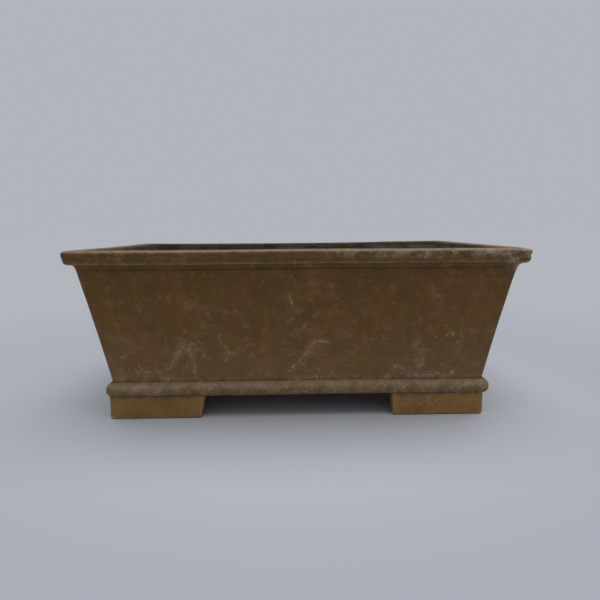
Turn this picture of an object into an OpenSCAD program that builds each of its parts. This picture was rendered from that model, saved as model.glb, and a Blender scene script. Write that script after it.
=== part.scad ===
// Rectangular unglazed bonsai pot, built from clay slabs and strips.
// Origin: on the ground, under the middle of the pot. +X runs along the length, the front faces -Y.
// An "inset" is a distance inwards from the outer line of the rim, square to a side.

/* [Overall] */
// Length over the rim
rim_length = 420; // [340:5:600]
// Width over the rim, front to rear
rim_width = 290; // [240:5:420]
// Height from the ground to the top of the rim
pot_height = 163; // [120:1:220]

/* [Rim] */
// Height of the rim strip's face
rim_face = 12; // [8:0.5:18]
// How far the face leans in towards its lower edge
rim_lean = 1.2; // [0:0.1:2.4]
// Rounding of the rim's two upper edges
rim_edge_r = 3; // [1:0.5:4]
// Rounding of the rim's lower outer edge
rim_lower_r = 1.8; // [0.5:0.1:3]
// Height and depth of the hollow strip under the rim
cove = 5; // [4:0.5:6]

/* [Walls] */
// Thickness of the wall slabs
wall = 10.5; // [8:0.5:14]
// Inset of the wall's face at its top edge
neck_inset = 8.2; // [7:0.2:12]
// Inset of the wall's face at its lower edge, which sets the flare
wall_foot_inset = 30; // [20:1:40]
// Rounding of the upright outer corners
corner_r = 4.5; // [2:0.5:6]

/* [Base bead] */
// Radius of the bead's round face
bead_r = 8.7; // [7.5:0.1:10]
// How far the bead stands out from the floor slab's edge
bead_out = 5.4; // [4:0.1:7]
// Height of the bead's middle above the underside of the floor slab
bead_rise = 7.5; // [6:0.1:8]

/* [Floor] */
// Thickness of the floor slab
floor_thick = 12; // [10:0.5:16]
// Diameter of each drain hole
drain_d = 34; // [20:1:45]
// Distance of each drain hole from the middle
drain_x = 85; // [50:1:110]
// Diameter of each tie-wire hole
wire_d = 7; // [4:0.5:10]
// Tie-wire holes: distance from the middle along the length
wire_x = 128; // [100:1:135]
// Tie-wire holes: distance from the middle along the width
wire_y = 60; // [30:1:64]

/* [Feet] */
// Height of the feet
foot_h = 22; // [12:1:30]
// Inset of the feet's outer faces
foot_inset = 27.4; // [20:0.2:38]
// Length of a foot's leg along the front or rear
foot_long = 92; // [60:1:120]
// Length of a foot's leg along the left or right side
foot_short = 62; // [40:1:80]
// Width of each leg
foot_leg_w = 18; // [12:1:26]
// How much shorter a leg is at the ground than at the top
foot_slant = 3; // [0:0.5:6]
// Rounding of the feet's lower edges
foot_edge_r = 3; // [1:0.5:4]

/* [Inside seams] */
// How far the clay coils pressed into the inside corners spread along each side
coil_leg = 8; // [5:0.5:12]

/* [Hidden] */
$fn = 64;

// [name, turn about Z, length along the side, depth of the pot square to it]
SIDES = [
    ["front", 0, rim_length, rim_width],
    ["right", 90, rim_width, rim_length],
    ["rear", 180, rim_length, rim_width],
    ["left", -90, rim_width, rim_length]
];
// [name, on the right, at the rear]
CORNERS = [
    ["front_left", false, false],
    ["front_right", true, false],
    ["rear_right", true, true],
    ["rear_left", false, true]
];
SIDE_PARTS = ["wall", "rim", "cove", "bead", "floor_coil"];
CORNER_PARTS = ["corner_coil", "foot"];

CLAY = "#5a452c";
WORN_CLAY = "#6b5439";
FOOT_CLAY = "#74562f";
INNER_CLAY = "#6f604c";

wall_top = pot_height - rim_face;
floor_top = foot_h + floor_thick;
// Inward run of the wall's face for each unit of height
wall_slope = (wall_foot_inset - neck_inset) / (wall_top - floor_top);
wall_lean = atan(wall_slope);
wall_run = wall / cos(wall_lean);
// Where two walls meet, the corner line leans more than the walls do
corner_lean = atan(wall_slope * sqrt(2));
inside_leg = coil_leg * cos(wall_lean);
// The sharp upper corner of the rim's section lies this far outside what its rounding leaves
rim_tilt = rim_lean / rim_face;
rim_proud = rim_edge_r * (sqrt(1 + rim_tilt * rim_tilt) + rim_tilt - 1);
// How far a cutting shape runs past what it cuts
past = 1;
mitre_depth = wall_foot_inset + wall_run + coil_leg + 10;

// Inset of the walls' outer face at height z.
function face_inset(z) = neck_inset + (wall_top - z) * wall_slope;

// Half of the angle between two walls, in a section square to their corner line.
function half_angle(lean) = atan(1 / cos(lean));

function unit(v) = v / norm(v);

// ---- Helpers ----

module flip_if(flipped, axis) {
    if (flipped) mirror(axis) children();
    else children();
}

// Children are drawn with the rim's outer line along X and the pot on its +Y side.
module at_side(side) {
    rotate([0, 0, side[1]]) translate([0, -side[3] / 2, 0]) children();
}

// Children are drawn with the rim's front left corner at the origin and the pot in the +X +Y quarter.
module at_corner(corner) {
    flip_if(corner[1], [1, 0, 0]) flip_if(corner[2], [0, 1, 0])
        translate([-rim_length / 2, -rim_width / 2, 0]) children();
}

// Polygon whose corners are rounded by their own radii. A corner with radius 0 stays sharp.
module rounded_polygon(points, radii) {
    count = len(points);
    function before(i) = unit(points[(i + count - 1) % count] - points[i]);
    function after(i) = unit(points[(i + 1) % count] - points[i]);
    function half(i) = acos(before(i) * after(i)) / 2;
    function tangent(i) = radii[i] / tan(half(i));
    polygon([
        for (i = [0 : count - 1])
            for (way = radii[i] > 0 ? [before(i), after(i)] : [[0, 0]])
                points[i] + tangent(i) * way
    ]);
    for (i = [0 : count - 1]) if (radii[i] > 0)
        translate(points[i] + unit(before(i) + after(i)) * radii[i] / sin(half(i)))
            circle(radii[i]);
}

// A section, drawn as [inset, height], run along one side and mitred at both ends.
module side_strip(run) {
    intersection() {
        translate([-run / 2, 0, 0]) rotate([90, 0, 90]) linear_extrude(run) children();
        linear_extrude(pot_height + past) polygon([
            [-run / 2 - past, -past],
            [run / 2 + past, -past],
            [run / 2 - mitre_depth, mitre_depth],
            [-run / 2 + mitre_depth, mitre_depth]
        ]);
    }
}

// Children run up the corner line that is at this inset at the ground and leans outwards.
module on_corner_line(inset, lean) {
    translate([inset, inset, 0]) rotate([0, 0, 45]) rotate([0, -lean, 0])
        translate([0, 0, -past]) linear_extrude(1.3 * pot_height) children();
}

// What is pared off a sharp corner on the -X side to leave radius r, in section.
module paring(r, half) {
    touch = r / tan(half);
    away = [sin(half), cos(half)] * past;
    upper = [cos(half), sin(half)] * touch;
    outer = upper + [-away[0], away[1]];
    difference() {
        polygon([
            upper,
            outer,
            [-2 * past, 0],
            [outer[0], -outer[1]],
            [upper[0], -upper[1]]
        ]);
        translate([r / sin(half), 0]) circle(r);
    }
}

// The parings at both ends of a side.
module end_parings(run, inset, r, lean = 0) {
    for (other_end = [false, true]) flip_if(other_end, [1, 0, 0])
        translate([-run / 2, 0, 0]) on_corner_line(inset, lean) paring(r, half_angle(lean));
}

// Section of a coil of clay pressed flat into a corner that opens towards +X.
module coil_section(angle) {
    reach = coil_leg * cos(angle / 2);
    spread = coil_leg * sin(angle / 2);
    polygon([[0, 0], [reach, -spread], [reach, spread]]);
}

// ---- Sections, as [inset, height] ----

module rim_section() {
    inner = neck_inset + wall_run;
    rounded_polygon(
        [
            [-rim_proud, pot_height],
            [rim_lean - rim_proud, wall_top],
            [inner, wall_top],
            [inner, pot_height]
        ],
        [rim_edge_r, rim_lower_r, 0, rim_edge_r]
    );
}

module cove_section() {
    bottom = wall_top - cove;
    outer = neck_inset - cove + 0.6;
    difference() {
        polygon([
            [outer, wall_top],
            [neck_inset, wall_top],
            [face_inset(bottom), bottom],
            [outer, bottom]
        ]);
        translate([outer - past / 2, bottom - past / 2]) circle(cove - 0.2);
    }
}

module wall_section() {
    polygon([
        [neck_inset, wall_top],
        [neck_inset + wall_run, wall_top],
        [wall_foot_inset + wall_run, floor_top],
        [wall_foot_inset, floor_top]
    ]);
}

module bead_section() {
    top = foot_h + bead_rise + bead_r + past;
    intersection() {
        translate([wall_foot_inset - bead_out + bead_r, foot_h + bead_rise]) circle(bead_r);
        polygon([
            [0, foot_h],
            [wall_foot_inset, foot_h],
            [wall_foot_inset, floor_top],
            [face_inset(top), top],
            [0, top]
        ]);
    }
}

module foot_section() {
    outer = foot_inset;
    inner = foot_inset + foot_leg_w;
    rounded_polygon(
        [[outer, foot_h], [outer, 0], [inner, 0], [inner, foot_h]],
        [0, foot_edge_r, foot_edge_r, 0]
    );
}

// ---- Pieces ----

module floor_slab() {
    long = rim_length - 2 * wall_foot_inset;
    wide = rim_width - 2 * wall_foot_inset;
    color(INNER_CLAY) difference() {
        translate([-long / 2, -wide / 2, foot_h]) cube([long, wide, floor_thick]);
        for (x = [-drain_x, drain_x])
            translate([x, 0, foot_h - past]) cylinder(d = drain_d, h = floor_thick + 2 * past);
        for (x = [-wire_x, wire_x], y = [-wire_y, wire_y])
            translate([x, y, foot_h - past]) cylinder(d = wire_d, h = floor_thick + 2 * past);
    }
}

// Flat slab that stands on the floor slab and leans outwards.
module wall_slab(side) {
    color(CLAY) at_side(side) difference() {
        side_strip(side[2]) wall_section();
        end_parings(side[2], face_inset(0), corner_r, corner_lean);
    }
}

// Strip that lies on the wall's top edge and overhangs it.
module rim_strip(side) {
    color(WORN_CLAY) at_side(side) difference() {
        side_strip(side[2]) rim_section();
        end_parings(side[2], 0, corner_r);
    }
}

// Hollow moulding in the angle under the rim's overhang.
module cove_strip(side) {
    color(CLAY) at_side(side) difference() {
        side_strip(side[2]) cove_section();
        end_parings(side[2], neck_inset - cove + 0.6, corner_r / 2);
    }
}

// Round moulding over the seam between the walls and the floor slab.
module bead_strip(side) {
    color(WORN_CLAY) at_side(side) difference() {
        side_strip(side[2]) bead_section();
        end_parings(side[2], wall_foot_inset - bead_out, corner_r);
    }
}

// Coil in the seam between a wall and the floor, inside.
module floor_coil(side) {
    color(INNER_CLAY) at_side(side) side_strip(side[2])
        translate([wall_foot_inset + wall_run, floor_top])
            rotate((90 + wall_lean) / 2) coil_section(90 + wall_lean);
}

// Coil in the inside corner between two walls, thinning out between the two rim strips.
module corner_coil(corner) {
    bottom = floor_top + inside_leg;
    top = pot_height - rim_edge_r;
    rim_corner = neck_inset + wall_run;
    reach = rim_width / 2;
    color(INNER_CLAY) at_corner(corner) intersection() {
        on_corner_line(face_inset(0) + wall_run, corner_lean)
            coil_section(2 * half_angle(corner_lean));
        union() {
            translate([0, 0, bottom]) cube([reach, reach, wall_top - bottom]);
            translate([rim_corner, rim_corner, bottom]) cube([reach, reach, top - bottom]);
        }
    }
}

// One leg of a foot, from the corner along X, mitred where it meets the other leg.
// The rounding of its end starts below the ground, so its arc meets the underside at an angle.
module foot_leg(leg_length) {
    end = foot_inset + leg_length;
    intersection() {
        rotate([90, 0, 90]) linear_extrude(end + past) foot_section();
        translate([0, rim_width / 4, 0]) rotate([90, 0, 0]) linear_extrude(rim_width / 4)
            rounded_polygon(
                [[0, -past], [end - foot_slant, -past], [end, foot_h], [0, foot_h]],
                [0, foot_edge_r + past, 0, 0]
            );
        linear_extrude(foot_h) polygon([[0, 0], [end + past, 0], [end + past, end + past]]);
    }
}

// L-shaped foot under a corner of the floor slab.
module foot(corner) {
    color(FOOT_CLAY) at_corner(corner) difference() {
        union() {
            foot_leg(foot_long);
            mirror([1, -1, 0]) foot_leg(foot_short);
        }
        on_corner_line(foot_inset, 0) paring(corner_r, half_angle(0));
    }
}

floor_slab();
for (side = SIDES) {
    wall_slab(side);
    rim_strip(side);
    cove_strip(side);
    bead_strip(side);
    floor_coil(side);
}
for (corner = CORNERS) {
    corner_coil(corner);
    foot(corner);
}
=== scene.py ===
"""Looks of a rectangular unglazed bonsai pot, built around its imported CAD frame.

Each CAD piece is replaced by a detailed one in the same place: the same slab, strip or coil with
hand-worked waviness, softened corners, nicks and a worn clay surface. Everything is in metres.
"""
import itertools
import math

import bpy
import numpy as np
from mathutils import Matrix, Vector
from mathutils.geometry import delaunay_2d_cdt


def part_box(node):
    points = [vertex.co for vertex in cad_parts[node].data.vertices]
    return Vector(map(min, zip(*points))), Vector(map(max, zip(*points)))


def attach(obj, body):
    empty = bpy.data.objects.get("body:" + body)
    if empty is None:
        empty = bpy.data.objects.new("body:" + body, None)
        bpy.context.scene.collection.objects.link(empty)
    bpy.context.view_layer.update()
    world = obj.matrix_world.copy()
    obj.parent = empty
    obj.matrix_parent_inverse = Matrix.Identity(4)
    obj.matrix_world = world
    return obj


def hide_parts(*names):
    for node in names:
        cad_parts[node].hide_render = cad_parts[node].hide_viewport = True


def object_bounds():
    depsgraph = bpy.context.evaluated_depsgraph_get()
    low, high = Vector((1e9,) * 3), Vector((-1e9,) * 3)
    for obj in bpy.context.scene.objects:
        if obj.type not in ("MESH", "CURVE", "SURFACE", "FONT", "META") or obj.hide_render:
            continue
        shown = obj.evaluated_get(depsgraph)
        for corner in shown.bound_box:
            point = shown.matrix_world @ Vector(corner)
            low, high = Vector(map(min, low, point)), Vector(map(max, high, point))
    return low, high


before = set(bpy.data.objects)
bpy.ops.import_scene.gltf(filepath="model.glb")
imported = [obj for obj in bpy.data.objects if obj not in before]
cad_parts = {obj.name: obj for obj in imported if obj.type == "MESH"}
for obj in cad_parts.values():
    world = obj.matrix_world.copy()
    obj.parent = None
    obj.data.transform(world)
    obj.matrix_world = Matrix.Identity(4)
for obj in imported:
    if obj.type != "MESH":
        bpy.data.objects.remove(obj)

MM = 0.001
CAD_LOW, CAD_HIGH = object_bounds()

# ---- Sizes from the frame. An inset is a distance inwards from the outer line of the rim. ----

HALF_X = CAD_HIGH.x
HALF_Y = CAD_HIGH.y
TOP = CAD_HIGH.z


def low(node):
    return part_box(node)[0]


def high(node):
    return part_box(node)[1]


RIM_BOTTOM = low("front_rim").z
RIM_INNER = high("front_rim").y + HALF_Y
NECK = low("front_wall").y + HALF_Y
COVE_OUTER = low("front_cove").y + HALF_Y
COVE_BOTTOM = low("front_cove").z
SLAB_BOTTOM = low("floor_slab").z
SLAB_TOP = high("floor_slab").z
SLAB_INSET = low("floor_slab").y + HALF_Y
WALL_RUN = RIM_INNER - NECK
WALL_SLOPE = (SLAB_INSET - NECK) / (RIM_BOTTOM - SLAB_TOP)
BEAD_OUTER = low("front_bead").y + HALF_Y
FOOT_INSET = low("front_left_foot").y + HALF_Y
FOOT_LONG = high("front_left_foot").x - low("front_left_foot").x
FOOT_SHORT = high("front_left_foot").y - low("front_left_foot").y

# ---- Sizes of what the CAD pieces leave plain ----

CORNER_R = 4.5 * MM
RIM_EDGE_R = 3.0 * MM
RIM_LOWER_R = 2.1 * MM
RIM_LEAN = 1.5 * MM
# How far the rim's lower lip hangs below its underside
RIM_DROP = 0.8 * MM
# How far out the rim's top arris would be if it weren't rounded
RIM_PROUD = 0.6 * MM
BEAD_R = 8.0 * MM
BEAD_RISE = 6.7 * MM
FOOT_W = 18.0 * MM
# How the front feet were set: moved to the right, cut short, and cut aslant, in millimetres
FOOT_SETTING = {"front_left": (-0.6, 0.0, 3.9), "front_right": (-1.7, 1.4, 1.4)}
COIL_R = 10.0 * MM
DRAIN_R = 17.0 * MM
DRAIN_X = 85.0 * MM
WIRE_R = 3.5 * MM
WIRE_X = 128.0 * MM
WIRE_Y = 60.0 * MM
# How far a piece runs on into its neighbour, so no light shows through a joint
BURIED = 0.6 * MM
# How far from a corner the tooled lines along the sides begin to fade
CORNER_REACH = 38.0 * MM

SIDES = {
    "front": (0, HALF_X, HALF_Y),
    "right": (90, HALF_Y, HALF_X),
    "rear": (180, HALF_X, HALF_Y),
    "left": (-90, HALF_Y, HALF_X),
}
CORNERS = {
    "front_left": (-1, -1),
    "front_right": (1, -1),
    "rear_right": (1, 1),
    "rear_left": (-1, 1),
}

# ---- Materials ----

# What each mesh says about its points, from 0 to 1, for the materials to use. The crease mark is where
# shade is painted, with some real grime in it.
MARKS = ("wear", "crease", "inside", "under", "chip", "limed")


def srgb(*values):
    """A colour given as on screen, from 0 to 255, as the shader takes it."""
    return tuple((v / 255 / 12.92) if v <= 10 else ((v / 255 + 0.055) / 1.055) ** 2.4
                 for v in values) + (1.0,)


DARK_PATCH = srgb(94, 69, 27)
PALE_PATCH = srgb(148, 110, 68)
DARK_MOTTLE = srgb(84, 62, 28)
PALE_MOTTLE = srgb(156, 124, 84)
DARK_GRIT = srgb(62, 46, 26)
PALE_GRIT = srgb(180, 152, 114)
TOOL_LINE = srgb(76, 54, 30)
# Painted light: paler tones laid on lower down the pot, as if lit from the floor
PAINTED_LIGHT_HIGH = srgb(170, 132, 84)
PAINTED_LIGHT_LOW = srgb(160, 128, 92)
LIME_FILM = srgb(162, 138, 114)
LIME_STROKE = srgb(184, 162, 138)
LIME_FLECK = srgb(196, 180, 160)
LIME_CRUST = srgb(178, 174, 166)
# Painted shade, with some grime: the dark laid in creases, under overhangs and where pieces join
SHADE_AND_DIRT_COLOUR = srgb(62, 42, 20)
RAW_CLAY = srgb(150, 112, 72)
DARK_STAIN = srgb(68, 60, 46)
PALE_STAIN = srgb(98, 84, 62)
SOIL = srgb(84, 68, 50)
BARE_WARM = srgb(146, 112, 72)
BARE_DARK = srgb(126, 94, 58)

# Long scratches on the front where lime dried: pairs of ends as (x, z), in millimetres
SCRATCHES = (
    ((-10, 45), (15, 75)), ((15, 75), (25, 75)), ((-125, 50), (-110, 70)), ((-105, 70), (-100, 45)),
    ((90, 50), (105, 45)), ((105, 45), (115, 40)), ((115, 40), (140, 40)), ((120, 55), (115, 40)),
    ((-155, 45), (-135, 45)), ((-10, 120), (-5, 110)),
)


class Nodes:
    """A node tree, with short ways to add to it."""

    def __init__(self, tree):
        self.tree = tree
        tree.nodes.clear()

    def add(self, kind, inputs=None, **settings):
        node = self.tree.nodes.new("ShaderNode" + kind)
        for key, value in settings.items():
            setattr(node, key, value)
        for key, value in (inputs or {}).items():
            if isinstance(value, bpy.types.NodeSocket):
                self.tree.links.new(value, node.inputs[key])
            else:
                node.inputs[key].default_value = value
        return node

    def noise(self, vector, size, detail, roughness, distortion=0.0):
        inputs = {"Vector": vector, "Scale": 1 / size, "Detail": detail,
                  "Roughness": roughness, "Distortion": distortion}
        return self.add("TexNoise", inputs).outputs["Fac"]

    def vector(self, operation, *values):
        return self.add("VectorMath", dict(enumerate(values)), operation=operation).outputs[0]

    def ease(self, value, start, end, low=0.0, high=1.0):
        inputs = {"Value": value, "From Min": start, "From Max": end, "To Min": low, "To Max": high}
        return self.add("MapRange", inputs, interpolation_type="SMOOTHSTEP").outputs["Result"]

    def math(self, operation, a, b=0.0):
        return self.add("Math", {0: a, 1: b}, operation=operation, use_clamp=True).outputs[0]

    def product(self, *values):
        result = values[0]
        for value in values[1:]:
            result = self.math("MULTIPLY", result, value)
        return result

    def mix(self, share, a, b):
        return self.add("Mix", {0: share, 6: a, 7: b}, data_type="RGBA").outputs[2]

    def mark(self, name):
        return self.add("Attribute", attribute_name=name).outputs["Fac"]


class Clay(Nodes):
    """Fired unglazed clay, stained by use. Each method adds one layer over a colour.

    haze is the amount of pale film and strokes outside, lime that of white crust inside, and
    brushed that of the fine level lines that a wooden tool leaves.
    """

    def __init__(self, tree, haze, lime, brushed):
        super().__init__(tree)
        self.haze, self.lime, self.brushed = haze, lime, brushed
        self.place = self.add("TexCoord").outputs["Object"]
        self.along, self.across, self.height = self.add("SeparateXYZ", {0: self.place}).outputs
        marks = (self.mark(mark) for mark in MARKS)
        self.wear, self.crease, self.inside, self.under, self.chip, self.limed = marks
        self.outside = self.math("SUBTRACT", 1.0, self.inside)
        self.low_down = self.ease(self.height, 125 * MM, 40 * MM, 0.25, 1.0)
        self.clouds = self.noise(self.place, 48 * MM, 5, 0.6, 0.5)
        moved = self.vector("ADD", self.place, (3.1, 1.7, 5.3))
        self.patches = self.noise(moved, 20 * MM, 5, 0.6, 0.4)
        self.mottle = self.noise(self.place, 9 * MM, 8, 0.66)
        self.grain = self.noise(self.place, 1.3 * MM, 3, 0.6)
        self.lines = self.noise(self.stretched(0.035), 0.9 * MM, 4, 0.7)

    def stretched(self, share):
        """The place, with every pattern on it drawn out level."""
        return self.vector("MULTIPLY", self.place, (share, share, 1.0))

    def tones(self, body, warm):
        """Two tones in soft clouds, with patches, finer mottling, and dark and pale grit."""
        colour = self.mix(self.ease(self.clouds, 0.48, 0.64), body, warm)
        colour = self.mix(self.ease(self.patches, 0.5, 0.34, 0.0, 0.3), colour, DARK_PATCH)
        colour = self.mix(self.ease(self.patches, 0.52, 0.7, 0.0, 0.22), colour, PALE_PATCH)
        colour = self.mix(self.ease(self.mottle, 0.5, 0.3, 0.0, 0.42), colour, DARK_MOTTLE)
        colour = self.mix(self.ease(self.mottle, 0.52, 0.72, 0.0, 0.42), colour, PALE_MOTTLE)
        colour = self.mix(self.ease(self.grain, 0.62, 0.74, 0.0, 0.45), colour, DARK_GRIT)
        return self.mix(self.ease(self.grain, 0.38, 0.28, 0.0, 0.4), colour, PALE_GRIT)

    def tool_lines(self, colour):
        """Level lines left by a wooden tool, with grime in them."""
        tooled = self.product(self.ease(self.lines, 0.5, 0.62), self.brushed, 0.55)
        return self.mix(tooled, colour, TOOL_LINE)

    def painted_wall_light(self, colour):
        """Painted light: a little paler down the walls, as if lit by light bounced from the floor, and
        darker high up in the rim's shade.
        """
        colour = self.mix(self.ease(self.height, 136 * MM, 96 * MM, 0.0, 0.07), colour, PAINTED_LIGHT_HIGH)
        return self.mix(self.ease(self.height, 100 * MM, 36 * MM, 0.0, 0.22), colour, PAINTED_LIGHT_LOW)

    def film_share(self):
        """How much shows of the thin film of lime, and of the dust on top."""
        film = self.ease(self.noise(self.stretched(0.6), 15 * MM, 9, 0.72, 0.15), 0.5, 0.7)
        facing_up = self.add("SeparateXYZ", {0: self.add("NewGeometry").outputs["Normal"]}).outputs["Z"]
        dust = self.product(self.ease(facing_up, 0.55, 0.95),
                            self.ease(self.mottle, 0.25, 0.7, 0.65, 1.0), 0.6)
        limed = self.product(self.limed, self.ease(self.noise(self.place, 12 * MM, 6, 0.65), 0.42, 0.6),
                             0.85)
        film = self.math("MAXIMUM", self.product(film, self.low_down, 0.5), limed)
        return self.product(self.math("MAXIMUM", film, dust), self.outside, self.haze)

    def short_strokes(self):
        """A mask of short pale strokes, which follow the level lines of a soft noise."""
        zone = self.ease(self.noise(self.place, 36 * MM, 3, 0.5), 0.44, 0.56)
        strokes = []
        for size, width, shift in ((28 * MM, 0.018, 0.0), (17 * MM, 0.022, 7.3)):
            moved = self.vector("ADD", self.place, (shift, shift, shift))
            level = self.noise(moved, size, 4, 0.48, 0.4)
            # Not clamped, unlike self.math, because it goes below 0
            off = self.add("Math", {0: level, 1: 0.5}, operation="SUBTRACT").outputs[0]
            ridge = self.ease(self.math("ABSOLUTE", off), width, 0.0)
            broken = self.ease(self.noise(moved, 9 * MM, 4, 0.6), 0.5, 0.64)
            strokes.append(self.product(ridge, broken))
        return self.product(self.math("MAXIMUM", *strokes), zone, self.low_down, self.outside,
                            self.haze, 0.75)

    def long_scratches(self, scratches):
        """A mask of wavering, broken scratches on the front, each with a faint halo."""
        shake_size = 11 * MM
        shake = self.add("TexNoise", {"Vector": self.place, "Scale": 1 / shake_size, "Detail": 4.0})
        shake = self.vector("SUBTRACT", shake.outputs["Color"], (0.5, 0.5, 0.5))
        shaken = self.vector("MULTIPLY_ADD", shake, (shake_size,) * 3, self.place)
        flat = self.vector("MULTIPLY", shaken, (1, 0, 1))
        mask = None
        for start, end in scratches:
            start, end = (Vector((x, 0, z)) * MM for x, z in (start, end))
            apart = self.distance_to_line(flat, start, end - start)
            core = self.ease(apart, 1.3 * MM, 0.1 * MM, 0.0, 0.7)
            halo = self.ease(apart, 7 * MM, 0.0, 0.0, 0.2)
            line = self.math("MAXIMUM", core, halo)
            mask = self.math("MAXIMUM", mask, line) if mask else line
        broken = self.ease(self.noise(self.place, 5 * MM, 5, 0.65), 0.4, 0.62, 0.2, 1.0)
        return self.product(mask, broken, self.ease(self.across, -60 * MM, -80 * MM))

    def distance_to_line(self, place, start, run):
        """Distance from a short straight line, given by its start and its run."""
        from_start = self.vector("SUBTRACT", place, start)
        share = self.add("VectorMath", {0: from_start, 1: run / run.length_squared},
                         operation="DOT_PRODUCT").outputs["Value"]
        share = self.math("MINIMUM", share, 1.0)
        nearest = self.add("VectorMath", {0: run, "Scale": share}, operation="SCALE").outputs[0]
        return self.add("VectorMath", {0: from_start, 1: nearest}, operation="DISTANCE").outputs["Value"]

    def flecks(self, colour):
        """White flecks of lime, most of them in creases, on edges and where lime crusted."""
        fleck = self.ease(self.noise(self.place, 7 * MM, 6, 0.66), 0.53, 0.66)
        patch = self.ease(self.noise(self.place, 40 * MM, 3, 0.5), 0.48, 0.62)
        zone = self.math("ADD", self.product(self.crease, 0.45), self.product(self.wear, 0.3))
        zone = self.product(self.math("ADD", zone, 0.05), patch, self.low_down, self.haze)
        zone = self.math("MAXIMUM", zone, self.product(self.limed, 0.6))
        return self.mix(self.product(fleck, zone), colour, LIME_FLECK)

    def rubbed_share(self):
        """How much the edges are rubbed bare."""
        uneven_wear = self.ease(self.noise(self.place, 9 * MM, 6, 0.65), 0.3, 0.62, 0.35, 1.0)
        return self.product(self.wear, uneven_wear, 0.75)

    def shade_dirt_and_nicks(self, colour):
        # Painted shade, with some real grime: darkens creases, the rim's underside, the cove, the edges
        # of the bead and the feet's tops under the bead
        shade_and_dirt_share = self.product(self.crease, self.ease(self.mottle, 0.25, 0.6, 1.0, 0.65),
                            self.ease(self.patches, 0.4, 0.62, 1.0, 0.6), 0.8)
        colour = self.mix(shade_and_dirt_share, colour, SHADE_AND_DIRT_COLOUR)
        return self.mix(self.product(self.chip, 0.5), colour, RAW_CLAY)

    def crust_share(self):
        """How much white crust shows inside, most of it high up and to the right."""
        crust = self.noise(self.stretched(0.7), 26 * MM, 10, 0.7, 0.1)
        fine_crust = self.noise(self.place, 3 * MM, 6, 0.7)
        return self.product(self.ease(crust, 0.4, 0.58), self.ease(fine_crust, 0.3, 0.6, 0.4, 1.0),
                            self.lime, self.ease(self.along, -40 * MM, 90 * MM, 0.3, 1.0),
                            self.ease(self.height, TOP - 1.5 * MM, TOP - 4.5 * MM),
                            self.ease(self.height, TOP - 50 * MM, TOP - 8 * MM, 0.4, 1.0))

    def inner_faces(self, colour, crust_share):
        """Damp stain with crust and soil on it inside, and bare clay underneath."""
        stain = self.ease(self.noise(self.place, 30 * MM, 7, 0.65), 0.35, 0.65)
        inner = self.mix(stain, DARK_STAIN, PALE_STAIN)
        inner = self.mix(crust_share, inner, LIME_CRUST)
        inner = self.mix(self.ease(self.height, 60 * MM, 36 * MM, 0.0, 0.7), inner, SOIL)
        colour = self.mix(self.inside, colour, inner)
        bare = self.mix(self.ease(self.clouds, 0.4, 0.6), BARE_WARM, BARE_DARK)
        return self.mix(self.product(self.under, 0.85), colour, bare)

    def roughness(self, usual, film_share, rubbed):
        """Rubbed clay has a slight polish, and lime has none."""
        rough = self.ease(self.mottle, 0.3, 0.7, usual - 0.06, usual + 0.08)
        rough = self.math("ADD", rough, self.product(film_share, 0.2))
        rough = self.math("ADD", rough, self.product(self.inside, 0.22))
        return self.math("SUBTRACT", rough, self.product(rubbed, 0.1))

    def relief(self, crust_share):
        """Relief too fine for the mesh: grit, pin holes, tool lines, mottling and the crust."""
        pits = self.ease(self.noise(self.place, 1.9 * MM, 2, 0.5), 0.3, 0.42)
        crust = self.product(crust_share, self.inside)
        depths = ((self.grain, 0.12), (pits, 0.14), (self.lines, 0.14 * self.brushed),
                  (self.mottle, 0.4), (crust, 0.5))
        bump = None
        for amount, depth in depths:
            inputs = {"Height": amount, "Distance": depth * MM}
            if bump:
                inputs["Normal"] = bump
            bump = self.add("Bump", inputs).outputs[0]
        return bump


def clay_material(name, body, warm, worn, haze, lime, brushed, roughness, scratches=()):
    """body and warm are the clay's two tones, and worn is its colour on rubbed edges."""
    material = bpy.data.materials.new(name)
    material.use_nodes = True
    clay = Clay(material.node_tree, haze, lime, brushed)
    film_share, rubbed, crust_share = clay.film_share(), clay.rubbed_share(), clay.crust_share()

    colour = clay.painted_wall_light(clay.tool_lines(clay.tones(body, warm)))
    colour = clay.mix(film_share, colour, LIME_FILM)
    stroke = clay.short_strokes()
    if scratches:
        stroke = clay.math("MAXIMUM", stroke, clay.long_scratches(scratches))
    colour = clay.mix(stroke, colour, LIME_STROKE)
    colour = clay.mix(rubbed, clay.flecks(colour), worn)
    colour = clay.inner_faces(clay.shade_dirt_and_nicks(colour), crust_share)

    shader = clay.add("BsdfPrincipled", {
        "Base Color": colour,
        "Roughness": clay.roughness(roughness, film_share, rubbed),
        "Specular IOR Level": 0.22,
        "Normal": clay.relief(crust_share),
    })
    clay.add("OutputMaterial", {"Surface": shader.outputs[0]})
    return material


MATERIALS = {
    "clay_body": clay_material(
        "clay_body", srgb(107, 76, 27), srgb(114, 78, 33), srgb(146, 118, 80),
        haze=0.8, lime=0.9, brushed=0.5, roughness=0.52, scratches=SCRATCHES),
    "clay_trim": clay_material(
        "clay_trim", srgb(102, 74, 36), srgb(110, 77, 44), srgb(190, 163, 130),
        haze=1.0, lime=0.5, brushed=1.0, roughness=0.5),
    "clay_foot": clay_material(
        "clay_foot", srgb(150, 108, 40), srgb(132, 91, 36), srgb(168, 138, 100),
        haze=0.8, lime=0.4, brushed=0.3, roughness=0.55),
    "clay_inside": clay_material(
        "clay_inside", srgb(112, 90, 62), srgb(118, 88, 56), srgb(136, 116, 90),
        haze=0.6, lime=0.9, brushed=0.1, roughness=0.62),
}

# ---- Uneven surfaces ----


HASH_PRIMES = (73856093, 19349663, 83492791)
TABLE_SIZE = 4096


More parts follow.
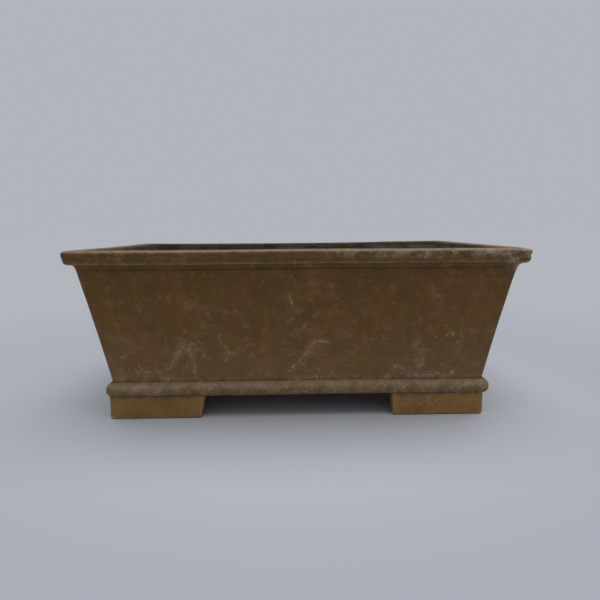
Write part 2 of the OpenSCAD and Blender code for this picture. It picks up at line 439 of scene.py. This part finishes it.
def uneven(points, size, seed):
    """Smooth noise from -1 to 1 that varies over about `size` metres."""
    table = np.random.default_rng(seed).uniform(-1, 1, TABLE_SIZE)
    cell = points / size + seed * 0.37
    base = np.floor(cell).astype(np.int64)
    part = cell - base
    fade = part**3 * (part * (part * 6 - 15) + 10)
    total = np.zeros(points.shape[:-1])
    for step in itertools.product((0, 1), repeat=3):
        at = base + step
        x_key, y_key, z_key = (at[..., axis] * prime for axis, prime in enumerate(HASH_PRIMES))
        key = (x_key ^ y_key ^ z_key) % TABLE_SIZE
        share = np.where(step, fade, 1 - fade).prod(axis=-1)
        total += table[key] * share
    return total


def smooth_step(value, start, end):
    t = np.clip((value - start) / (end - start), 0, 1)
    return t * t * (3 - 2 * t)


def warp(points):
    """The pot's slow waviness, as an offset at each point. Nothing moves down near the ground."""
    offset = np.zeros(points.shape)
    for axis in range(3):
        offset[..., axis] += 0.45 * MM * uneven(points, 130 * MM, 3 + axis)
        offset[..., axis] += 0.13 * MM * uneven(points, 42 * MM, 13 + axis)
    rise = smooth_step(points[..., 2], 5 * MM, 40 * MM)
    offset[..., 2] *= rise
    # The right end of the rim dried a little high, its rear corner most.
    right = smooth_step(points[..., 0], 0, HALF_X)
    lift = right * (0.4 + 1.6 * smooth_step(points[..., 1], -HALF_Y, HALF_Y))
    offset[..., 2] += MM * lift * smooth_step(points[..., 2], 60 * MM, TOP)
    return offset


def near_patch(points):
    """1 at the front right corner of the rim, where the clay was patched, and 0 away from it."""
    apart = np.linalg.norm(points - (HALF_X, -HALF_Y, TOP - 5 * MM), axis=-1)
    return smooth_step(apart, 30 * MM, 9 * MM)


def limy(points):
    """Where lime has crusted most: the patched corner, the rim's upper edge by it, and the bead."""
    x, y, z = np.moveaxis(points, -1, 0)
    edge = 0.85 * smooth_step(x, 0, 60 * MM) * smooth_step(z, TOP - 10 * MM, TOP - 4 * MM)
    edge *= 1 - 0.75 * smooth_step(y, 1 * MM - HALF_Y, 5 * MM - HALF_Y)
    bead = 0.5 * smooth_step(z, SLAB_TOP + 9 * MM, SLAB_TOP + 4 * MM)
    bead *= smooth_step(z, SLAB_BOTTOM - 3 * MM, SLAB_BOTTOM)
    return np.maximum(near_patch(points), np.maximum(edge, bead))


def knobbly(points):
    """Height of the lumps on the patched corner, which bulges low down and is flatter on top."""
    lumps = 0.3 + uneven(points, 5.5 * MM, 51) + 0.6 * uneven(points, 2.8 * MM, 52)
    low_down = smooth_step(points[..., 2], TOP - 5 * MM, TOP - 9 * MM)
    high_up = smooth_step(points[..., 2], TOP - 5 * MM, TOP - 1 * MM)
    return MM * (0.75 * lumps + 0.9 * low_down - 0.8 * high_up) * near_patch(points)


def make_chips():
    """Places, radii and depths of small nicks, along the edges that get knocked."""
    random = np.random.default_rng(41)
    chips = []

    def along(inset, z, count, size, depth):
        for _ in range(count):
            long_side = random.random() < 0.6
            sign = random.choice([-1, 1])
            run = random.uniform(-1, 1)
            x = run * (HALF_X - inset) if long_side else sign * (HALF_X - inset)
            y = sign * (HALF_Y - inset) if long_side else run * (HALF_Y - inset)
            radius = random.uniform(*size) * MM
            chips.append(((x, y, z), radius, random.uniform(*depth) * MM))

    along(0.3 * MM, TOP - 0.6 * MM, 46, (1.2, 3.4), (0.25, 0.9))
    along(1.4 * MM, RIM_BOTTOM + 0.5 * MM, 30, (1.0, 2.6), (0.2, 0.7))
    along(RIM_INNER, TOP - 0.6 * MM, 26, (1.2, 3.2), (0.3, 0.9))
    along(BEAD_OUTER, SLAB_BOTTOM + BEAD_RISE, 34, (1.0, 2.8), (0.15, 0.5))
    along(FOOT_INSET, 1.0 * MM, 30, (1.2, 3.0), (0.2, 0.6))
    return chips


CHIPS = make_chips()


def chipped(points):
    """Depth of the nicks at each point."""
    depth = np.zeros(points.shape[:-1])
    for centre, radius, deep in CHIPS:
        apart = np.linalg.norm(points - centre, axis=-1) / radius
        depth = np.maximum(depth, deep * np.clip(1 - apart**2, 0, 1) ** 1.5)
    return depth


# ---- Outlines ----


def rounded_outline(corners, spacing, like=None):
    """Points along a closed outline whose corners are (a, b, radius).

    `like` is another set of corners that gives the number of points, so that two outlines match.
    """
    like = like or corners

    def corner_arc(points, i):
        here, radius = np.array(points[i][:2]), points[i][2]
        to_last = np.array(points[i - 1][:2]) - here
        to_next = np.array(points[(i + 1) % len(points)][:2]) - here
        to_last, to_next = to_last / np.linalg.norm(to_last), to_next / np.linalg.norm(to_next)
        half = math.acos(np.clip(to_last @ to_next, -1, 1)) / 2
        reach = radius / math.tan(half)
        middle = (to_last + to_next) / np.linalg.norm(to_last + to_next)
        centre = here + middle * radius / math.sin(half)
        return here + to_last * reach, here + to_next * reach, centre, math.pi - 2 * half

    result = []
    for i in range(len(corners)):
        start, end, centre, turn = corner_arc(corners, i)
        arc_steps = max(2, round(corner_arc(like, i)[3] / math.radians(14)))
        first, last = start - centre, end - centre
        for step in range(arc_steps + 1):
            t = step / arc_steps
            blend = (math.sin((1 - t) * turn) * first + math.sin(t * turn) * last) / math.sin(turn)
            result.append(centre + blend)
        j = (i + 1) % len(corners)
        run = np.linalg.norm(corner_arc(like, j)[0] - corner_arc(like, i)[1])
        steps = max(1, round(run / spacing))
        following = corner_arc(corners, j)[0]
        result += [end + (following - end) * step / steps for step in range(1, steps)]
    return np.array(result)


# ---- Meshes ----


def grid_normals(grid, around=True):
    """Outward normals of a grid of points. `around` says that the second direction is a loop."""
    along = np.gradient(grid, axis=0)
    if around:
        across = np.roll(grid, -1, axis=1) - np.roll(grid, 1, axis=1)
    else:
        across = np.gradient(grid, axis=1)
    normals = np.cross(along, across)
    return normals / np.maximum(np.linalg.norm(normals, axis=-1, keepdims=True), 1e-12)


def work_surface(grid, ends=(None, None), grain=1.0):
    """Moves a grid of points as hand work and wear would, and gives the new points and normals.

    `ends` holds the plane's normal at each mitre. Normals there are kept in that plane, so that the
    two pieces which meet in it move together and shade as one.
    """

    def normals_of(points):
        normals = grid_normals(points)
        for row, plane in zip((0, -1), ends):
            if plane is not None:
                normals[row] -= (normals[row] @ plane)[:, None] * plane
                normals[row] /= np.linalg.norm(normals[row], axis=-1, keepdims=True)
        return normals

    normals = normals_of(grid)
    bumps = 0.08 * MM * uneven(grid, 15 * MM, 23) + 0.06 * MM * uneven(grid, 6.5 * MM, 24)
    bumps += 0.04 * MM * uneven(grid, 3 * MM, 25)
    depth = chipped(grid)
    moved = grid + warp(grid) + normals * (grain * bumps + knobbly(grid) - depth)[..., None]
    moved[..., 2] = np.maximum(moved[..., 2], 0)
    return moved, normals_of(moved), depth


def make_piece(name, node, slot, points, faces, normals=None, marks=None):
    """A mesh that stands for one CAD node. normals are per face corner; marks are per point."""
    mesh = bpy.data.meshes.new(name)
    mesh.from_pydata(points.tolist(), [], faces)
    mesh.update()
    mesh.polygons.foreach_set("use_smooth", [True] * len(mesh.polygons))
    if normals is not None:
        mesh.normals_split_custom_set(normals)
    for mark in MARKS:
        layer = mesh.attributes.new(mark, "FLOAT", "POINT")
        values = (marks or {}).get(mark, np.zeros(len(points)))
        layer.data.foreach_set("value", np.asarray(values, float).ravel())
    piece = bpy.data.objects.new(name, mesh)
    bpy.context.scene.collection.objects.link(piece)
    mesh.materials.append(MATERIALS[slot])
    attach(piece, "root")
    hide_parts(node)
    return piece


def tube_mesh(name, node, slot, grid, ends, marks, grain=1.0):
    """A closed mesh from rows of closed loops, with a flat face over each end."""
    moved, normals, depth = work_surface(grid, ends, grain)
    rows, loop = grid.shape[:2]
    at = np.arange(rows * loop).reshape(rows, loop)
    following = np.roll(at, -1, axis=1)
    quads = np.stack([at[:-1], at[1:], following[1:], following[:-1]], axis=-1).reshape(-1, 4)
    faces = quads.tolist() + [at[0].tolist(), at[-1, ::-1].tolist()]
    points = moved.reshape(-1, 3)
    flat = normals.reshape(-1, 3)
    corner_normals = flat[quads.ravel()].tolist()
    for face in faces[-2:]:
        rim = points[face]
        away = np.cross(rim, np.roll(rim, -1, axis=0)).sum(axis=0)
        corner_normals += [(away / np.linalg.norm(away)).tolist()] * loop
    marks = {**marks, "chip": np.clip(depth.ravel() / (0.35 * MM), 0, 1),
             "limed": limy(grid).ravel()}
    return make_piece(name, node, slot, points, faces, corner_normals, marks)


def turn_to_side(points, side):
    """Turns points or directions from the front side's frame to another side's."""
    angle = math.radians(SIDES[side][0])
    x, y, z = np.moveaxis(np.asarray(points, float), -1, 0)
    return np.stack([
        x * math.cos(angle) - y * math.sin(angle),
        x * math.sin(angle) + y * math.cos(angle),
        z,
    ], axis=-1)


ARC_STEPS = 6


def side_grid(side, outline, plan_radius, spacing, at_corner):
    """An outline of (inset, height) swept along a side, with its corners rounded in plan.

    Towards the corners the outline turns into `at_corner`. Also gives the planes of the two
    mitres, and how far each row has turned into the corner's outline.
    """
    _, half_run, half_depth = SIDES[side]
    steps = round(2 * half_run / spacing)
    inset, height = at_corner.T
    radius = plan_radius(inset, height)
    rows = []
    for step in range(ARC_STEPS + 1):
        angle = math.radians(225 + 45 * step / ARC_STEPS)
        rows.append((-half_run + inset + radius * (1 + math.cos(angle)),
                     inset + radius * (1 + math.sin(angle)), height))
    flat_half = half_run - inset - radius
    places = 2 * np.arange(1, steps) / steps - 1
    # The tooled lines fade towards both corners.
    turned = smooth_step(half_run * (1 - np.abs(places)), CORNER_REACH, 0)
    # They are also shallower along the right half of each side.
    turned = np.maximum(turned, 0.4 * smooth_step(places, -0.1, 0.5))
    for place, share in zip(places, turned):
        here = outline + (at_corner - outline) * share
        rows.append((flat_half * place, here[:, 0], here[:, 1]))
    rows += [(-x, y, z) for x, y, z in rows[ARC_STEPS::-1]]
    grid = np.stack([np.stack([x, y - half_depth, z], axis=-1) for x, y, z in rows])
    planes = [np.array([1, -1, 0]) / math.sqrt(2), np.array([1, 1, 0]) / math.sqrt(2)]
    corner_rows = np.ones(ARC_STEPS + 1)
    return (turn_to_side(grid, side), [turn_to_side(plane, side) for plane in planes],
            np.r_[corner_rows, turned, corner_rows])


def side_piece(side, part, slot, outline, plan_radius, marks, spacing=1.6 * MM, grain=1.0,
               at_corner=None):
    """A strip or slab along one side. marks gives each outline point's values, in a dict.

    at_corner is the outline near the corners, where tooled creases fade out.
    """
    plain = at_corner is None
    grid, ends, turned = side_grid(side, outline, plan_radius, spacing, outline if plain else at_corner)
    rows = len(grid)
    tiled = {mark: np.tile(values, rows) for mark, values in marks.items()}
    if not plain:
        # The painted shade fades with the tooled creases towards the corners.
        tiled["crease"] *= np.repeat(1 - 0.7 * turned, len(outline))
    return tube_mesh(f"{side}_{part}_clay", f"{side}_{part}", slot, grid, ends, tiled, grain)


def nearness(outline, places, reach):
    """1 at the places on an outline, falling to 0 over `reach`."""
    apart = np.min([np.hypot(*(outline - place).T) for place in places], axis=0)
    return np.exp(-(apart / reach) ** 2)


# ---- Pieces along the sides ----


def face_inset(z):
    """Inset of the walls' outer face at height z."""
    return NECK + (RIM_BOTTOM - z) * WALL_SLOPE


def inner_inset(z):
    """Inset of the walls' inner face at height z."""
    return face_inset(z) + WALL_RUN


def outer_corner(outer_inset):
    """Plan radii for a section whose outer line is at this inset."""
    return lambda inset, height: np.maximum(outer_inset + CORNER_R - inset, 0.4 * MM)


def flat_corner(inset, height):
    """Plan radii of a surface whose corner stays as round from top to bottom."""
    return np.where(inset < face_inset(height) + WALL_RUN / 2, CORNER_R, 1.5 * MM)


def rim_piece(side):
    def section(lean, lower_r):
        return [
            (lean, RIM_BOTTOM - RIM_DROP, lower_r),
            (-RIM_PROUD, TOP, RIM_EDGE_R),
            (RIM_INNER, TOP, RIM_EDGE_R),
            (RIM_INNER - 0.2 * MM, RIM_BOTTOM - BURIED, 0.3 * MM),
            (NECK + 3 * MM, RIM_BOTTOM - BURIED, 0.3 * MM),
            (NECK + 2 * MM, RIM_BOTTOM, 0.3 * MM),
        ]

    usual = section(RIM_LEAN, RIM_LOWER_R)
    outline = rounded_outline(usual, 1.3 * MM)
    at_corner = rounded_outline(section(RIM_LEAN + 0.4 * MM, RIM_LOWER_R + 0.9 * MM), 1.3 * MM, usual)
    inset, height = outline.T

    def plan_radius(inset, height):
        inner = 4 * MM * smooth_step(inset, RIM_INNER - 5 * MM, RIM_INNER)
        outer = CORNER_R * smooth_step(inset, NECK + CORNER_R, NECK)
        return np.maximum(np.maximum(outer, inner), 0.4 * MM)

    edges = [(0.4 * MM, TOP - 0.5 * MM)]
    # The pale line along the rim's lower lip is partly wear and partly a painted highlight.
    lower = [(RIM_LEAN + 0.4 * MM, RIM_BOTTOM - RIM_DROP + 0.4 * MM)]
    marks = {
        "wear": np.maximum(nearness(outline, edges, 1.25 * MM), 0.5 * nearness(outline, lower, 1.2 * MM)),
        # Painted shade on the rim's underside, where it meets the wall
        "crease": smooth_step(inset, 3 * MM, 5 * MM) * (height < RIM_BOTTOM + MM),
        "inside": smooth_step(inset, RIM_INNER - 2.8 * MM, RIM_INNER - 1.2 * MM),
    }
    side_piece(side, "rim", "clay_trim", outline, plan_radius, marks, at_corner=at_corner)


def cove_piece(side):
    back = NECK + 4 * MM
    ceiling = RIM_BOTTOM - 0.3 * MM

    def section(proud, hollow_r):
        return [
            (back, COVE_BOTTOM, 0.2 * MM),
            (face_inset(COVE_BOTTOM) - proud, COVE_BOTTOM, 0.25 * MM),
            (face_inset(ceiling) - proud, ceiling, hollow_r),
            (COVE_OUTER, ceiling, 0.1 * MM),
            (COVE_OUTER, RIM_BOTTOM + BURIED, 0.2 * MM),
            (back, RIM_BOTTOM + BURIED, 0.3 * MM),
        ]

    usual = section(0.5 * MM, 3.6 * MM)
    outline = rounded_outline(usual, 0.7 * MM)
    at_corner = rounded_outline(section(0.15 * MM, 4.2 * MM), 0.7 * MM, usual)
    marks = {
        "wear": 0.15 * nearness(outline, [(face_inset(COVE_BOTTOM), COVE_BOTTOM + 0.4 * MM)], 0.9 * MM),
        # Painted shade, with some grime: the whole cove a little darker under the rim's overhang, most
        # just under the rim and along the cove's lower edge
        "crease": np.maximum(0.3, np.maximum(
            0.7 * nearness(outline, [(COVE_OUTER + MM, ceiling)], 2 * MM),
            smooth_step(outline[:, 1], COVE_BOTTOM + 0.2 * MM, COVE_BOTTOM))),
    }
    side_piece(side, "cove", "clay_body", outline, flat_corner, marks, at_corner=at_corner)


def wall_piece(side):
    groove = 0.6 * MM
    brow = COVE_BOTTOM - groove

    def section(deep):
        return [
            (SLAB_INSET + 0.3 * MM, SLAB_TOP - BURIED, 0.4 * MM),
            (face_inset(brow), brow, 0.5 * MM),
            (face_inset(brow) + deep, COVE_BOTTOM, 0.2 * MM),
            (NECK + 2 * MM, RIM_BOTTOM + BURIED, 0.4 * MM),
            (RIM_INNER - 0.3 * MM, RIM_BOTTOM + BURIED, 0.3 * MM),
            (inner_inset(SLAB_TOP), SLAB_TOP - BURIED, 0.4 * MM),
        ]

    usual = section(groove)
    shaped = []
    for corners in (usual, section(0.15 * MM)):
        outline = rounded_outline(corners, 2.0 * MM, usual)
        inset, height = outline.T
        outer = inset < face_inset(height) + 3 * MM
        rise = np.clip((height - SLAB_TOP) / (brow - SLAB_TOP), 0, 1)
        # The slabs sagged very slightly inwards before the firing.
        outline[:, 0] += 0.5 * MM * np.sin(math.pi * rise) * outer
        shaped.append(outline)
    outline, at_corner = shaped
    height = outline[:, 1]
    bead_top = SLAB_BOTTOM + BEAD_RISE + BEAD_R - MM
    marks = {
        # Painted shade, with some grime: a dark band below the cove, in the rim's shade, and a fainter
        # one just above the bead
        "crease": outer * np.maximum(
            0.75 * np.exp(-np.clip(brow - height, 0, None) / (1.8 * MM)),
            0.5 * np.exp(-np.clip(height - bead_top, 0, None) / (1.6 * MM))),
        "inside": 1.0 - outer,
    }
    side_piece(side, "wall", "clay_body", outline, flat_corner, marks, 2.0 * MM, at_corner=at_corner)


def bead_piece(side):
    middle = (BEAD_OUTER + BEAD_R, SLAB_BOTTOM + BEAD_RISE)
    lowest = math.pi + math.asin(BEAD_RISE / BEAD_R)
    highest = math.radians(112)
    back = SLAB_INSET + 1.5 * MM
    face_points = 19
    round_face = [(middle[0] + BEAD_R * math.cos(a), middle[1] + BEAD_R * math.sin(a))
                  for a in np.linspace(lowest, highest, face_points)]
    outline = np.array([(back, SLAB_BOTTOM)] + round_face + [(back, round_face[-1][1])])
    turned = np.linspace(0, 1, face_points)
    marks = {
        # The pale band of wear along the bead's upper crest is partly a painted highlight.
        "wear": np.r_[0, 0.45 * np.exp(-((turned - 0.7) / 0.2) ** 2), 0],
        # Painted shade where the bead meets the wall above and the slab and feet below
        "crease": np.r_[0, np.maximum(smooth_step(turned, 0.9, 1.0), smooth_step(turned, 0.1, 0.0)), 1],
    }
    side_piece(side, "bead", "clay_trim", outline, outer_corner(BEAD_OUTER), marks)


def floor_coil_piece(side):
    foot = inner_inset(SLAB_TOP)
    rise = 9.5 * MM
    outline = rounded_outline([
        (foot - 1.5 * MM, SLAB_TOP - 1.5 * MM, 0.3 * MM),
        (inner_inset(SLAB_TOP + rise) - 0.5 * MM, SLAB_TOP + rise, 0.2 * MM),
        (foot, SLAB_TOP, COIL_R),
        (foot + rise, SLAB_TOP - 0.5 * MM, 0.2 * MM),
    ], 1.2 * MM)

    def plan_radius(inset, height):
        return np.maximum(foot + COIL_R - inset, 0.5 * MM)

    marks = {"inside": np.ones(len(outline)), "crease": 0.25 * np.ones(len(outline))}
    side_piece(side, "floor_coil", "clay_inside", outline, plan_radius, marks, 2.2 * MM, 2.0)


# ---- Pieces at the corners ----


def to_corner(grid, corner):
    """From insets along both sides of a corner to the pot's frame, with the loops kept right way out."""
    right, rear = CORNERS[corner]
    placed = np.stack([
        right * (HALF_X - grid[..., 0]),
        rear * (HALF_Y - grid[..., 1]),
        grid[..., 2],
    ], axis=-1)
    return placed if right == rear else placed[:, ::-1]


def corner_coil_piece(corner):
    rows = []
    top = TOP - 4 * MM
    for z in np.arange(SLAB_TOP + 2 * MM, top + 0.1 * MM, 2 * MM):
        rising = smooth_step(z, RIM_BOTTOM - 10 * MM, top)
        radius = COIL_R * (1 - 0.25 * rising)
        buried = 0.25 * MM + 2.2 * MM * rising
        wall = max(inner_inset(z), RIM_INNER) - buried
        arc = [(wall + radius * (1 + math.cos(a)), wall + radius * (1 + math.sin(a)))
               for a in np.radians(np.linspace(180, 270, 13))]
        back = wall - 1.5 * MM
        loop = arc + [(wall + radius, back), (back, back), (back, wall + radius)]
        rows.append([(a, b, z) for a, b in loop])
    grid = to_corner(np.array(rows), corner)
    count = grid.shape[0] * grid.shape[1]
    marks = {"inside": np.ones(count), "crease": 0.2 * np.ones(count)}
    name = f"{corner}_corner_coil"
    tube_mesh(name + "_clay", name, "clay_inside", grid, (None, None), marks, 2.0)


def foot_piece(corner):
    shift, shorter, slant = (size * MM for size in FOOT_SETTING.get(corner, (0, 0, 3)))

    def plan(inward, height):
        """Corners of the foot's L in plan, `inward` of its full outline, at a height above the ground."""
        near, far = FOOT_INSET + inward, FOOT_INSET + FOOT_W - inward
        cut = slant * (1 - height / SLAB_BOTTOM) + shorter + inward
        long_end, short_end = FOOT_INSET + FOOT_LONG - cut, FOOT_INSET + FOOT_SHORT - cut
        rounding = 2.2 * MM - 0.4 * inward
        return [
            (far, short_end, rounding),
            (far, far, 4 * MM + inward),
            (long_end, far, rounding),
            (long_end, near, rounding),
            (near, near, CORNER_R + 0.5 * MM - inward),
            (near, short_end, rounding),
        ]

    edge_r = 2.6 * MM
    levels = [(edge_r * (1 - math.sin(a)), edge_r * (1 - math.cos(a)))
              for a in np.radians(np.arange(0, 91, 15))]
    levels += [(0.0, z) for z in np.arange(edge_r + 1.4 * MM, SLAB_BOTTOM + BURIED, 1.4 * MM)]
    whole = plan(0.0, SLAB_BOTTOM)
    rows = []
    for inward, z in levels:
        outline = rounded_outline(plan(inward, z), 1.6 * MM, whole)
        rows.append(np.c_[outline, np.full(len(outline), z)])
    grid = to_corner(np.array(rows), corner)
    grid[..., 0] += shift
    z = grid[..., 2].ravel()
    loop = rounded_outline(whole, 1.6 * MM)
    ends = [(x, y) for x, y, _ in whole if max(x, y) > FOOT_INSET + FOOT_W + MM]
    end_wear = np.tile(nearness(loop, ends, 2.2 * MM), len(rows))
    if CORNERS[corner][0] != CORNERS[corner][1]:
        end_wear = end_wear.reshape(len(rows), -1)[:, ::-1].ravel()
    marks = {
        "wear": np.maximum(0.6 * np.exp(-((z - 1.2 * MM) / (1.6 * MM)) ** 2), end_wear),
        # Painted shade, with some grime: the top of each foot darker just under the bead
        "crease": 0.8 * smooth_step(z, SLAB_BOTTOM - 4 * MM, SLAB_BOTTOM),
        "under": smooth_step(z, 0.5 * MM, 0.0),
    }
    name = f"{corner}_foot"
    tube_mesh(name + "_clay", name, "clay_foot", grid, (None, None), marks)


# ---- Floor slab ----


def ring(centre, radius, wider):
    """Points round a hole of this radius, on a circle that much wider."""
    count = max(20, round(2 * math.pi * radius / (2.4 * MM)))
    angles = np.linspace(0, 2 * math.pi, count, endpoint=False)
    radius += wider
    return np.c_[centre[0] + radius * np.cos(angles), centre[1] + radius * np.sin(angles)]


def slab_plan(holes, edge):
    """The slab's flat surface: its points, its border, a loop round each hole, and triangles."""
    spacing = 5 * MM
    half_x, half_y = HALF_X - SLAB_INSET, HALF_Y - SLAB_INSET
    across = [np.linspace(-half, half, round(2 * half / spacing) + 1) for half in (half_x, half_y)]
    flat = np.array([(x, y) for x in across[0] for y in across[1]])
    for centre, radius in holes:
        flat = flat[np.hypot(*(flat - centre).T) > radius + edge + 1.5 * MM]
    border = (np.abs(flat[:, 0]) > half_x - 1e-6) | (np.abs(flat[:, 1]) > half_y - 1e-6)
    around = np.argsort(np.arctan2(flat[border, 1] / half_y, flat[border, 0] / half_x))
    border = np.flatnonzero(border)[around]
    plan = [Vector(p) for p in flat]
    edges = [(int(a), int(b)) for a, b in zip(border, np.roll(border, -1))]
    loops = []
    for centre, radius in holes:
        start = len(plan)
        plan += [Vector(p) for p in ring(centre, radius, edge)]
        loop = list(range(start, len(plan)))
        loops.append(loop)
        edges += list(zip(loop, loop[1:] + loop[:1]))
    found, _, triangles, origin, _, _ = delaunay_2d_cdt(plan, edges, [], 0, 1e-7)
    assert len(found) == len(plan) and all(o == [i] for i, o in enumerate(origin))
    # A triangle with all its points on one ring lies in that hole.
    kept = [t for t in triangles if not any(set(t) <= set(loop) for loop in loops)]
    return np.array(found), border, loops, kept


def hole_levels(edge):
    """Steps down through a hole with rounded edges: (depth below the top, how much wider)."""
    turns = np.radians([30, 60, 90])
    thick = SLAB_TOP - SLAB_BOTTOM
    upper = [(edge * (1 - math.cos(a)), edge * (1 - math.sin(a))) for a in turns]
    lower = [(thick - depth, width) for depth, width in upper[::-1]]
    return upper + [(thick / 2, 0.0)] + lower


def slab_piece():
    """A slab with its drain and wire holes. Each hole's edges are rounded."""
    holes = [((x, 0.0), DRAIN_R) for x in (-DRAIN_X, DRAIN_X)]
    holes += [((x, y), WIRE_R) for x in (-WIRE_X, WIRE_X) for y in (-WIRE_Y, WIRE_Y)]
    edge = 1.2 * MM
    plan, border, loops, kept = slab_plan(holes, edge)

    count = len(plan)
    points = [np.c_[plan, np.full(count, z)] for z in (SLAB_TOP, SLAB_BOTTOM)]
    faces = [list(t) for t in kept] + [[i + count for i in reversed(t)] for t in kept]
    faces += [[b, a, a + count, b + count] for a, b in zip(border.tolist(), np.roll(border, -1).tolist())]
    total = 2 * count
    for loop, (centre, radius) in zip(loops, holes):
        last = loop
        for depth, width in hole_levels(edge):
            circle = ring(centre, radius, width)
            points.append(np.c_[circle, np.full(len(circle), SLAB_TOP - depth)])
            here = list(range(total, total + len(circle)))
            total += len(circle)
            faces += bridge(last, here)
            last = here
        faces += bridge(last, [i + count for i in loop])
    points = np.vstack(points)
    bumps = 0.25 * MM * uneven(points, 16 * MM, 31) + 0.12 * MM * uneven(points, 7 * MM, 32)
    up = np.sign(points[:, 2] - (SLAB_TOP + SLAB_BOTTOM) / 2)
    points += warp(points)
    points[:, 2] += bumps * up
    marks = {
        "inside": smooth_step(points[:, 2], SLAB_BOTTOM + 3 * MM, SLAB_TOP - 3 * MM),
        "under": smooth_step(points[:, 2], SLAB_BOTTOM + 3 * MM, SLAB_BOTTOM + MM),
    }
    make_piece("floor_slab_clay", "floor_slab", "clay_inside", points, faces, None, marks)


def bridge(first, second):
    """Faces between two loops of the same length, facing the middle of the loops."""
    return [[a, b, d, c] for a, b, c, d in zip(
        first, first[1:] + first[:1], second, second[1:] + second[:1])]


# ---- The pot ----

for side in SIDES:
    rim_piece(side)
    cove_piece(side)
    wall_piece(side)
    bead_piece(side)
    floor_coil_piece(side)
for corner in CORNERS:
    corner_coil_piece(corner)
    foot_piece(corner)
slab_piece()

# ---- Floor, light and camera ----

# The floor's colour under the pot, about 40 cm from its middle, and beyond a metre. The lighter colour
# under the pot is painted light that softens its shadow, and the lighter colour beyond a metre is painted
# light that blends the floor into the backdrop.
FLOOR_UNDER = (0.63, 0.655, 0.71, 1)
FLOOR_NEAR = (0.53, 0.55, 0.61, 1)
FLOOR_FAR = (0.583, 0.592, 0.626, 1)
# The floor's half length, as large as the camera can see
FLOOR_REACH = 60.0
BACKDROP = srgb(177, 181, 187)
SUN_COLOUR = (1.0, 0.985, 0.96)
SUN_STRENGTH = 1.38
SUN_SPREAD = math.radians(70)
SUN_DIRECTION = (-0.12, -0.05, -1.0)
FILL_COLOUR = (0.84, 0.92, 1.0, 1)
FILL_STRENGTH = 0.38
CAMERA_PLACE = (-12.5 * MM, -608.3 * MM, 178.8 * MM)
CAMERA_PITCH, CAMERA_TURN, CAMERA_ROLL = (math.radians(angle) for angle in (7.445, -1.6, -0.3))
CAMERA_LENS = 31.4


def make_floor():
    """A pale table top with painted light: lighter under the pot, which softens its shadow, a little
    darker round it, and lighter again far off, where it meets the backdrop.
    """
    mesh = bpy.data.meshes.new("table_top")
    corners = [(x * FLOOR_REACH, y * FLOOR_REACH, 0) for x, y in ((-1, -1), (1, -1), (1, 1), (-1, 1))]
    mesh.from_pydata(corners, [], [(0, 1, 2, 3)])
    table_top = bpy.data.objects.new("table_top", mesh)
    bpy.context.scene.collection.objects.link(table_top)
    material = bpy.data.materials.new("table_top")
    material.use_nodes = True
    n = Nodes(material.node_tree)
    place = n.add("TexCoord").outputs["Object"]
    away = n.add("VectorMath", {0: place}, operation="LENGTH").outputs["Value"]
    # Painted light: lighter far off, where the floor meets the backdrop, and lighter under the pot,
    # softening its shadow
    colour = n.mix(n.ease(away, 0.3, 1.0), FLOOR_NEAR, FLOOR_FAR)
    colour = n.mix(n.ease(away, 0.22, 0.4), FLOOR_UNDER, colour)
    shader = n.add("BsdfPrincipled", {"Base Color": colour, "Roughness": 0.9})
    n.add("OutputMaterial", {"Surface": shader.outputs[0]})
    mesh.materials.append(material)


def make_sun():
    """One very soft light from above, a little to the right and the rear."""
    light = bpy.data.lights.new("sun", "SUN")
    light.angle = SUN_SPREAD
    light.energy = SUN_STRENGTH
    light.color = SUN_COLOUR
    lamp = bpy.data.objects.new("sun", light)
    lamp.rotation_euler = Vector(SUN_DIRECTION).to_track_quat("-Z", "Y").to_euler()
    bpy.context.scene.collection.objects.link(lamp)


def make_world():
    """Pale grey all round, as the camera sees it, and a dimmer fill light on the pot."""
    world = bpy.data.worlds.new("studio")
    bpy.context.scene.world = world
    world.use_nodes = True
    n = Nodes(world.node_tree)
    seen = n.add("Background", {"Color": BACKDROP, "Strength": 1.0}).outputs[0]
    fill = n.add("Background", {"Color": FILL_COLOUR, "Strength": FILL_STRENGTH}).outputs[0]
    is_camera = n.add("LightPath").outputs["Is Camera Ray"]
    both = n.add("MixShader", {0: is_camera, 1: fill, 2: seen}).outputs[0]
    n.add("OutputWorld", {"Surface": both})


def make_camera():
    """A phone's view from just above the rim, a little left of the middle and turned to the right."""
    camera = bpy.data.cameras.new("camera")
    camera.sensor_width = 36.0
    camera.lens = CAMERA_LENS
    holder = bpy.data.objects.new("camera", camera)
    bpy.context.scene.collection.objects.link(holder)
    holder.matrix_world = (
        Matrix.Translation(CAMERA_PLACE)
        @ Matrix.Rotation(CAMERA_TURN, 4, "Z")
        @ Matrix.Rotation(math.pi / 2 - CAMERA_PITCH, 4, "X")
        @ Matrix.Rotation(CAMERA_ROLL, 4, "Z")
    )
    bpy.context.scene.camera = holder


make_floor()
make_sun()
make_world()
make_camera()
bpy.context.scene.view_settings.view_transform = "Standard"
